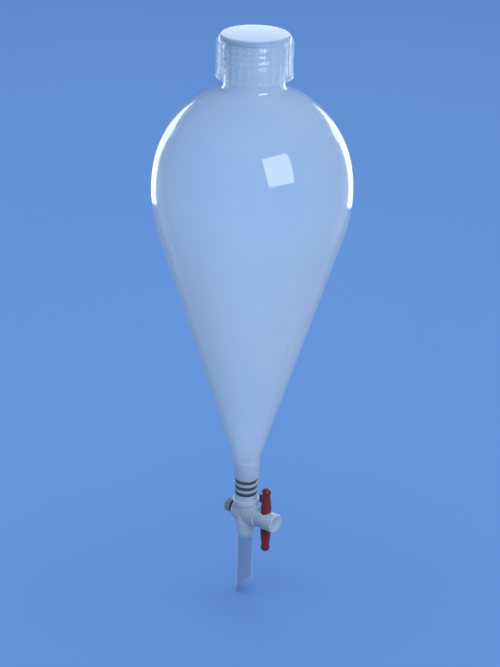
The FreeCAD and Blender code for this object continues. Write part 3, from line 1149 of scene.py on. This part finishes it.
@dataclass
class Stopcock:
    """The plug-in stopcock: its body, seals, plug, handle, tension parts and nut. Sizes in millimetres."""

    spigot_r: float = 8.65
    spigot_bore_r: float = 5.0
    spigot_relief: float = 0.5
    rim_chamfer: float = 0.8
    tube_end_z: float = -166.5
    mouth_length: float = 5.0
    shoulder_r: float = 10.2
    shoulder_edge_round: float = 0.4
    shoulder_length: float = 3.5
    shoulder_round: float = 1.2
    nut_clearance: float = 6.3
    barrel_r: float = 8.2
    barrel_beyond_boss: float = 0.9
    bead_r: float = 8.6
    bead_width: float = 1.4
    bead_slope: float = 0.4
    boss_r: float = 8.1
    outlet_r: float = 6.95
    outlet_chamfer: float = 0.9
    flow_r: float = 3.0
    seat_clearance: float = 0.1
    through: float = 1.0
    ring_count: int = 3
    ring_width: float = 2.6
    ring_round: float = 0.9
    groove_floor_r: float = 6.4
    groove_side_gap: float = 0.15
    reliefs: tuple[Point, ...] = ((1.3, 5.0), (6.6, 9.3))
    last_relief: float = 10.9
    last_relief_below_rim: float = 1.6
    plug_mid_r: float = 5.4
    plug_beyond_boss: float = 0.5
    taper: float = 0.1
    head_gap: float = 0.3
    head_r: float = 7.6
    head_round: float = 0.9
    face_rim: float = 1.9
    face_slope: float = 0.4
    face_recess: float = 0.25
    tail_r: float = 2.9
    tail_flat: float = 2.45
    tail_thread_height: float = 0.5
    tail_thread_base: float = 0.9
    tail_thread_crest: float = 0.4
    tail_thread_pitch: float = 1.5
    tail_thread_start: float = 0.9
    tail_thread_turns: float = 2.6
    tension_ring_bore_r: float = 3.55
    tension_ring_round: float = 0.7
    nut_bore_r: float = 3.5
    nut_thread_turns: float = 2.4
    nut_edge_round: float = 0.3
    nut_face_round: float = 1.0
    notch_count: int = 12
    notch_r: float = 0.8
    notch_out: float = 0.4
    handle_r: float = 4.15
    handle_fit: float = 0.05
    waist_r: float = 3.1
    ball_r: float = 3.55
    waist_from_end: float = 6.3
    straight_half: float = 11.0
    tab_low: float = 13.6
    tab_height: float = 6.8
    tab_reach: float = 6.6
    tab_thick: float = 1.6
    tab_round: float = 0.5

    def __post_init__(self) -> None:
        """Finds the heights that the frame gives."""
        low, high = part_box("stopcock_plug")
        self.axis_z = (low.z + high.z) / 2.0 / MM
        self.boss_end_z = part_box("stem_tube")[1].z / MM
        self.cone_end_z = self.axis_z + self.nut_clearance

    def plug_r(self, x: float) -> float:
        """The plug's radius at a place along its axis."""
        return self.plug_mid_r + self.taper * x

    def build(self, materials: Materials) -> None:
        """Makes every piece of the stopcock.

        Args:
            materials: The finishes.
        """
        self._body(materials)
        self._inlet_seals(materials)
        self._plug(materials)
        self._handle(materials)
        self._tension_parts(materials)

    def _body(self, materials: Materials) -> None:
        """Makes the body with its inlet, barrel and outlet.

        Args:
            materials: The finishes.
        """
        low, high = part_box("stopcock_body")
        bottom, top = low.z / MM, high.z / MM
        corners = [
            Corner(0.0, top),
            Corner(self.spigot_r - self.rim_chamfer, top),
            Corner(self.spigot_r, top - self.rim_chamfer),
            Corner(self.spigot_r, self.tube_end_z),
            Corner(self.shoulder_r, self.tube_end_z, self.shoulder_edge_round),
            Corner(self.shoulder_r, self.tube_end_z - self.shoulder_length, self.shoulder_round),
            Corner(self.boss_r, self.cone_end_z, self.shoulder_round),
            Corner(self.boss_r, self.boss_end_z, 0.3),
            Corner(self.outlet_r, self.boss_end_z),
            Corner(self.outlet_r, bottom + self.outlet_chamfer),
            Corner(self.outlet_r - self.outlet_chamfer, bottom),
            Corner(0.0, bottom),
        ]
        piece = turned("stopcock_casting", rounded(corners, closed=False), 128)
        left = -self.boss_r - self.barrel_beyond_boss
        right = high.x / MM
        combine(piece, self._barrel(left, right), Join.ADD)
        self._cut_grooves(piece, top)
        self._cut_passages(piece, (bottom, top), (left, right))
        soften(piece, 0.34, 4)
        smooth(piece, 60.0)
        dress(piece, materials.white)
        attach(piece, "vessel", "stopcock_white", "stopcock_body")

    def _barrel(self, left: float, right: float) -> bpy.types.Object:
        """Makes the barrel round the plug.

        Args:
            left: Its end beside the nut, in millimetres along the plug.
            right: Its beaded end beside the head.

        Returns:
            The barrel, still solid.
        """
        bead = right - self.bead_width
        corners = [
            Corner(0.0, left),
            Corner(self.barrel_r, left, 0.5),
            Corner(self.barrel_r, bead - self.bead_slope),
            Corner(self.bead_r, bead, 0.3),
            Corner(self.bead_r, right, 0.35),
            Corner(0.0, right),
        ]
        barrel = turned("barrel", rounded(corners, closed=False), 128)
        place(barrel, Vector((0.0, 0.0, self.axis_z)), Axis.PLUG)
        return barrel

    def _cut_grooves(self, piece: bpy.types.Object, top: float) -> None:
        """Cuts the three grooves for the seals and the shallow reliefs above them.

        Args:
            piece: The body.
            top: The height of the inlet's rim, in millimetres.
        """
        reach = self.ring_width / 2.0 + self.groove_side_gap
        for number in range(1, self.ring_count + 1):
            low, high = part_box(f"inlet_o_ring_{number}")
            middle = (low.z + high.z) / 2.0 / MM
            self._groove(piece, middle - reach, middle + reach, self.groove_floor_r)
        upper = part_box("inlet_o_ring_1")[1].z / MM
        reliefs = [(upper + low, upper + high) for low, high in self.reliefs]
        reliefs.append((upper + self.last_relief, top - self.last_relief_below_rim))
        for low, high in reliefs:
            self._groove(piece, low, high, self.spigot_r - self.spigot_relief)

    def _groove(self, piece: bpy.types.Object, low: float, high: float, floor_r: float) -> None:
        """Cuts a ring-shaped groove into the inlet.

        Args:
            piece: The body.
            low: Its lower side, in millimetres.
            high: Its upper side.
            floor_r: The radius of its floor.
        """
        outer = self.spigot_r + self.through
        ring = [(floor_r, low), (floor_r, high), (outer, high), (outer, low), (floor_r, low)]
        combine(piece, turned("groove", ring, 96), Join.CUT)

    def _cut_passages(self, piece: bpy.types.Object, heights: Point, ends: Point) -> None:
        """Cuts the flow passage down through the body and the plug's tapered seat across it.

        Args:
            piece: The body.
            heights: Its bottom and top, in millimetres.
            ends: The barrel's left and right ends.
        """
        bottom, top = heights[0] - self.through, heights[1] + self.through
        points = [
            (0.0, top),
            (self.spigot_bore_r, top),
            (self.spigot_bore_r, self.tube_end_z),
            (self.flow_r, self.tube_end_z - self.mouth_length),
            (self.flow_r, bottom),
            (0.0, bottom),
        ]
        combine(piece, turned("passage", points, 96), Join.CUT)
        left, right = ends[0] - self.through, ends[1] + self.through
        points = [
            (0.0, left),
            (self.plug_r(left) + self.seat_clearance, left),
            (self.plug_r(right) + self.seat_clearance, right),
            (0.0, right),
        ]
        seat = turned("seat", points, 96)
        place(seat, Vector((0.0, 0.0, self.axis_z)), Axis.PLUG)
        combine(piece, seat, Join.CUT)

    def _inlet_seals(self, materials: Materials) -> None:
        """Makes one O-ring of the inlet and copies it for the other grooves.

        Args:
            materials: The finishes.
        """
        low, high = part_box("inlet_o_ring_1")
        loop = ring_corners(self.groove_floor_r, high.x / MM, low.z / MM, high.z / MM, self.ring_round)
        seals = [turned("inlet_seal_1", rounded(loop, closed=True), 96)]
        smooth(seals[0], 60.0)
        dress(seals[0], materials.seal)
        for number in range(2, self.ring_count + 1):
            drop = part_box(f"inlet_o_ring_{number}")[0].z - low.z
            seals.append(twin_of(seals[0], f"inlet_seal_{number}", Vector((0.0, 0.0, drop / MM))))
        for number, seal in enumerate(seals, 1):
            attach(seal, "vessel", "seal_black", f"inlet_o_ring_{number}")

    def _tail_thread(self, root_r: float, tip_r: float, turns: float, low: float) -> Thread:
        """The thread of the plug's tail, or of the nut that runs on it.

        Args:
            root_r: The radius that the ridge stands on, in millimetres.
            tip_r: The radius of its crest.
            turns: How many turns it makes.
            low: Where it starts.

        Returns:
            The thread.
        """
        return Thread(
            root_r, tip_r, self.tail_thread_base, self.tail_thread_crest, self.tail_thread_pitch, turns, low, 48
        )

    def _plug(self, materials: Materials) -> None:
        """Makes the tapered plug with its head, cross hole, flow hole and threaded tail.

        Args:
            materials: The finishes.
        """
        low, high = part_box("stopcock_plug")
        tail, end = low.x / MM, high.x / MM
        small = -self.boss_r - self.plug_beyond_boss
        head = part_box("stopcock_body")[1].x / MM + self.head_gap
        face_r = self.head_r - self.face_rim
        corners = [
            Corner(0.0, tail),
            Corner(self.tail_r, tail, 0.4),
            Corner(self.tail_r, small),
            Corner(self.plug_r(small), small),
            Corner(self.plug_r(head), head),
            Corner(self.head_r, head, 0.3),
            Corner(self.head_r, end, self.head_round),
            Corner(face_r, end),
            Corner(face_r - self.face_slope, end - self.face_recess),
            Corner(0.0, end - self.face_recess),
        ]
        piece = turned("tapered_plug", rounded(corners, closed=False), 128)
        tip_r = self.tail_r + self.tail_thread_height
        thread = self._tail_thread(self.tail_r, tip_r, self.tail_thread_turns, tail + self.tail_thread_start)
        combine(piece, thread.ridge("tail_thread"), Join.ADD)
        for side in (-1.0, 1.0):
            near, far = sorted((side * self.tail_flat, side * 5.0))
            flat = block("flat", Vector((-6.0, near, tail - self.through)), Vector((6.0, far, small)))
            combine(piece, flat, Join.CUT)
        place(piece, Vector((0.0, 0.0, self.axis_z)), Axis.PLUG)
        combine(piece, bar("flow", self.flow_r, self.axis_z - 9.0, self.axis_z + 9.0), Join.CUT)
        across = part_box("handle")[1].x / MM - self.handle_r
        hole = bar("cross_hole", self.handle_r + self.handle_fit, self.axis_z - 12.0, self.axis_z + 12.0)
        place(hole, Vector((across, 0.0, 0.0)))
        combine(piece, hole, Join.CUT)
        smooth(piece, 35.0)
        dress(piece, materials.plug)
        attach(piece, "plug", "plug_white", "stopcock_plug")

    def _handle(self, materials: Materials) -> None:
        """Makes the bar handle with its waisted ball ends and its small tab.

        Args:
            materials: The finishes.
        """
        low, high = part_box("handle")
        half = (high.z - low.z) / 2.0 / MM
        across = high.x / MM - self.handle_r
        ball = half - self.ball_r
        waist = half - self.waist_from_end
        dip = math.sqrt(self.ball_r**2 - self.waist_r**2)
        upper = arc_points((0.0, ball), (0.0, half), (self.ball_r, ball), 9.0)
        upper += arc_points((0.0, ball), (self.ball_r, ball), (self.waist_r, ball - dip), 9.0)[1:]
        upper += [(self.waist_r, waist), (self.handle_r, self.straight_half)]
        lower = [(r, -z) for r, z in reversed(upper)]
        piece = turned("bar_handle", upper + lower, 96)
        half_thick = self.tab_thick / 2.0
        tab_top = self.tab_low + self.tab_height
        tab_foot = Vector((-self.tab_reach, -half_thick, self.tab_low))
        tab = block("tab", tab_foot, Vector((0.0, half_thick, tab_top)))
        settle(tab)
        bpy.ops.object.mode_set(mode="EDIT")
        bpy.ops.mesh.select_all(action="SELECT")
        bpy.ops.mesh.bevel(offset=self.tab_round * MM, segments=3, affect="EDGES")
        bpy.ops.object.mode_set(mode="OBJECT")
        combine(piece, tab, Join.ADD)
        soften(piece, 0.2, 4)
        place(piece, Vector((across, 0.0, self.axis_z)))
        smooth(piece, 60.0)
        dress(piece, materials.red)
        attach(piece, "plug", "handle_red", "handle")

    def _tension_parts(self, materials: Materials) -> None:
        """Makes the tension ring and the nut, and dresses the thin washer between barrel and ring.

        Args:
            materials: The finishes.
        """
        dress(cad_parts["plug_washer"], materials.plug)
        low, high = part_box("tension_o_ring")
        left, right = low.x / MM, high.x / MM
        loop = ring_corners(self.tension_ring_bore_r, high.y / MM, left, right, self.tension_ring_round)
        ring = turned("tension_seal", rounded(loop, closed=True), 96)
        place(ring, Vector((0.0, 0.0, self.axis_z)), Axis.PLUG)
        smooth(ring, 60.0)
        dress(ring, materials.seal)
        attach(ring, "tension_stack", "seal_black", "tension_o_ring")
        self._nut(materials)

    def _nut(self, materials: Materials) -> None:
        """Makes the retaining nut, whose thread starts half a pitch from the tail's.

        Args:
            materials: The finishes.
        """
        low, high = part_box("retaining_nut")
        outer, left, right = high.y / MM, low.x / MM, high.x / MM
        loop = ring_corners(self.nut_bore_r, outer, left, right, self.nut_edge_round)
        loop[1] = replace(loop[1], rounding=self.nut_face_round)
        nut = turned("tension_nut", rounded(loop, closed=True), 144)
        notch = bar("notch", self.notch_r, left - self.through, right - self.through, 24)
        place(notch, Vector((outer + self.notch_out, 0.0, 0.0)))
        combine(nut, copy_round(notch, self.notch_count), Join.CUT)
        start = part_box("stopcock_plug")[0].x / MM + self.tail_thread_start + self.tail_thread_pitch / 2.0
        tip_r = self.nut_bore_r - self.tail_thread_height
        thread = self._tail_thread(self.nut_bore_r, tip_r, self.nut_thread_turns, start)
        combine(nut, thread.ridge("nut_thread"), Join.ADD)
        soften(nut, 0.16, 2)
        place(nut, Vector((0.0, 0.0, self.axis_z)), Axis.PLUG)
        smooth(nut, 60.0)
        dress(nut, materials.nut)
        attach(nut, "nut", "stopcock_white", "retaining_nut")


@dataclass
class Stem:
    """The push-on stem with its flared top and slanted tip. Sizes in millimetres."""

    stem_r: float = 6.7
    bore_r: float = 5.5
    flare_r: float = 8.1
    flare_bore_r: float = 7.0
    flare_length: float = 11.4
    flare_cone: float = 2.2
    flare_round: float = 1.5
    mouth_round: float = 0.4
    bore_round: float = 1.0
    bore_lead: float = 0.6
    tip_round: float = 0.2
    bevel_drop: float = 11.6
    bevel_heading: float = 40.0

    def build(self, materials: Materials) -> None:
        """Makes the stem.

        Args:
            materials: The finishes.
        """
        low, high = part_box("stem_tube")
        top, tip = high.z / MM, low.z / MM
        flare_end = top - self.flare_length
        loop = [
            Corner(self.flare_r, top, self.mouth_round),
            Corner(self.flare_r, flare_end + self.flare_cone, self.flare_round),
            Corner(self.stem_r, flare_end, self.flare_round),
            Corner(self.stem_r, tip),
            Corner(self.bore_r, tip),
            Corner(self.bore_r, flare_end - self.bore_lead, self.bore_round),
            Corner(self.flare_bore_r, flare_end + self.flare_cone - self.bore_lead, self.bore_round),
            Corner(self.flare_bore_r, top, self.mouth_round),
        ]
        piece = turned("outlet_stem", rounded(loop, closed=True), 96)
        slope = math.atan2(self.bevel_drop, 2.0 * self.stem_r)
        heading = math.radians(self.bevel_heading)
        downhill = Vector((math.cos(heading), math.sin(heading), 0.0))
        normal = downhill * math.sin(slope) - Vector((0.0, 0.0, 1.0)) * math.cos(slope)
        settle(piece)
        bpy.ops.object.mode_set(mode="EDIT")
        bpy.ops.mesh.select_all(action="SELECT")
        bpy.ops.mesh.bisect(
            plane_co=(0.0, 0.0, (tip + self.bevel_drop / 2.0) * MM),
            plane_no=normal,
            use_fill=True,
            clear_outer=True,
        )
        bpy.ops.mesh.region_to_loop()
        bpy.ops.mesh.bevel(offset=self.tip_round * MM, segments=2, affect="EDGES")
        bpy.ops.object.mode_set(mode="OBJECT")
        tidy_mesh(piece)
        smooth(piece, 35.0)
        dress(piece, materials.stem)
        # The bore below the flare gets the greyed inner skin, a painted shade.
        line_inside(piece, materials.stem_inside_painted_shade, flare_end)
        attach(piece, "vessel", "milky_fluoropolymer", "stem_tube")


# ---- Studio --------------------------------------------------------------------------------------
@dataclass(frozen=True)
class Panel:
    """A soft light panel that the camera does not see. Metres and degrees.

    Its turn is from the camera to its right, its rise is from level, and its reach is from what it stands round.
    """

    name: str
    turn: float
    rise: float
    reach: float
    size: Point
    radiance: float
    in_gloss: bool = True


@dataclass
class Studio:
    """The plain floor, the soft lights and the camera. Metres and degrees."""

    heading: float = 40.0
    camera_distance: float = 1.2443
    camera_above_cap: float = 0.3334
    camera_pitch: float = 24.3755
    camera_roll: float = 1.19
    camera_aside: float = 0.0006
    lens: float = 98.2
    backdrop_r: float = 4.0
    backdrop_height: float = 3.4
    backdrop_bend: float = 1.2
    floor_gap: float = 0.0005
    near_clip: float = 0.05
    sky: Colour = (0.80, 0.90, 1.0)
    sky_strength: float = 0.30
    lamp_colour: Colour = (0.88, 0.95, 1.0)
    glint: tuple[float, float, float] = (0.054, -0.0375, 0.126)
    middle_z: float = 0.10
    softbox: Panel = Panel("front_softbox", 34.0, 28.0, 1.0, (0.58, 0.58), 7.5)
    behind: Panel = Panel("back_panel", 180.0, 17.0, 1.2, (0.9, 0.5), 2.8)
    left_rim: Panel = Panel("left_rim", -147.0, -7.5, 0.9, (0.38, 0.59), 5.0)
    right_rim: Panel = Panel("right_rim", 147.0, -7.5, 0.9, (0.38, 0.59), 5.0)
    overhead: Panel = Panel("overhead", 0.0, 90.0, 1.5, (1.3, 1.3), 1.25, in_gloss=False)
    low_fill: Panel = Panel("low_fill", 0.0, -8.0, 1.0, (0.6, 0.4), 2.2, in_gloss=False)
    over_floor: Panel = Panel("floor_light", 0.0, 90.0, 3.0, (4.0, 4.0), 1.35)

    def __post_init__(self) -> None:
        """Works out the camera's two level directions."""
        angle = math.radians(self.heading)
        self.towards_camera = Vector((math.sin(angle), -math.cos(angle), 0.0))
        self.camera_right = Vector((math.cos(angle), math.sin(angle), 0.0))

    def direction(self, turn: float, rise: float) -> Vector:
        """A direction from the funnel, turned from the camera to its right and raised, in degrees."""
        turn, rise = math.radians(turn), math.radians(rise)
        level = self.towards_camera * math.cos(turn) + self.camera_right * math.sin(turn)
        return level * math.cos(rise) + Vector((0.0, 0.0, math.sin(rise)))

    def build(self) -> None:
        """Makes the floor, lights and camera."""
        self._backdrop()
        self._world()
        self._lights()
        self._camera()

    def _backdrop(self) -> None:
        """Makes a round floor that curves up into a wall."""
        floor_z = (CAD_BOX[0].z - self.floor_gap) / MM
        edge, bend, height = self.backdrop_r / MM, self.backdrop_bend / MM, self.backdrop_height / MM
        flat_end, wall_foot = (edge - bend, floor_z), (edge, floor_z + bend)
        points = [(0.0, floor_z)]
        points += arc_points((edge - bend, floor_z + bend), flat_end, wall_foot, 6.0)
        points += [(edge, floor_z + height)]
        floor = trace("floor", points)
        sweep(floor, 96)
        smooth(floor, 60.0)
        dress(floor, PlainFloor().material())
        floor.visible_diffuse = False
        self.floor = floor

    def _world(self) -> None:
        """Sets an even sky over the open top."""
        world = bpy.data.worlds.new("studio_air")
        world.use_nodes = True
        background = world.node_tree.nodes["Background"]
        background.inputs["Color"].default_value = (*self.sky, 1.0)
        background.inputs["Strength"].default_value = self.sky_strength
        bpy.context.scene.world = world

    def _panel(self, panel: Panel, around: Vector, lit: list[bpy.types.Object], aim: Vector | None = None) -> None:
        """Adds a light panel.

        Args:
            panel: The panel.
            around: The point that it stands away from.
            lit: The objects that it lights.
            aim: The point that it faces, if that is another one.
        """
        at = around + self.direction(panel.turn, panel.rise) * panel.reach
        away = at - (around if aim is None else aim)
        bpy.ops.object.light_add(type="AREA", location=at)
        lamp = bpy.context.object
        lamp.name = panel.name
        lamp.rotation_euler = away.to_track_quat("Z", "Y").to_euler()
        lamp.data.shape = "RECTANGLE"
        lamp.data.size, lamp.data.size_y = panel.size
        lamp.data.energy = panel.radiance * math.pi * panel.size[0] * panel.size[1]
        lamp.data.color = self.lamp_colour
        lamp.visible_camera = False
        lamp.visible_glossy = panel.in_gloss
        receivers = bpy.data.collections.new(f"{panel.name}_receivers")
        for piece in lit:
            receivers.objects.link(piece)
        lamp.light_linking.receiver_collection = receivers

    def _lights(self) -> None:
        """Adds the softbox, the panel behind the cap, the two rim panels, the fills and the floor's own light."""
        funnel = [o for o in bpy.context.scene.objects if o.type == "MESH" and o is not self.floor]
        vessel = [bpy.data.objects["bulb_neck_and_tube"]]
        fittings = [piece for piece in funnel if piece not in vessel]
        middle = Vector((0.0, 0.0, self.middle_z))
        self._panel(self.softbox, Vector(self.glint), funnel)
        self._panel(self.behind, Vector((0.0, 0.0, CAD_BOX[1].z)), fittings)
        self._panel(self.left_rim, middle, funnel)
        self._panel(self.right_rim, middle, funnel)
        self._panel(self.overhead, middle, funnel)
        self._panel(self.low_fill, middle, vessel, Vector())
        self._panel(self.over_floor, Vector(), [self.floor])

    def _camera(self) -> None:
        """Adds the camera."""
        at = self.towards_camera * self.camera_distance + self.camera_right * self.camera_aside
        at.z = CAD_BOX[1].z + self.camera_above_cap
        look = -self.direction(0.0, self.camera_pitch)
        data = bpy.data.cameras.new("camera")
        data.lens = self.lens
        data.clip_start = self.near_clip
        camera = bpy.data.objects.new("camera", data)
        bpy.context.scene.collection.objects.link(camera)
        facing = look.to_track_quat("-Z", "Y")
        roll = Quaternion(look, math.radians(-self.camera_roll))
        camera.rotation_mode = "QUATERNION"
        camera.rotation_quaternion = roll @ facing
        camera.location = at
        bpy.context.scene.camera = camera


def main() -> None:
    """Builds every sub-assembly in order, then the studio."""
    logging.basicConfig(level=logging.INFO, format="%(name)s: %(message)s")
    materials = Materials()
    vessel = Vessel()
    vessel.build(materials)
    Closure().build(materials, vessel)
    Stopcock().build(materials)
    Stem().build(materials)
    Studio().build()
    scene = bpy.context.scene
    scene.cycles.transparent_max_bounces = CLEAR_LAYERS
    scene.view_settings.view_transform = "Standard"


if __name__ == "__main__":
    main()
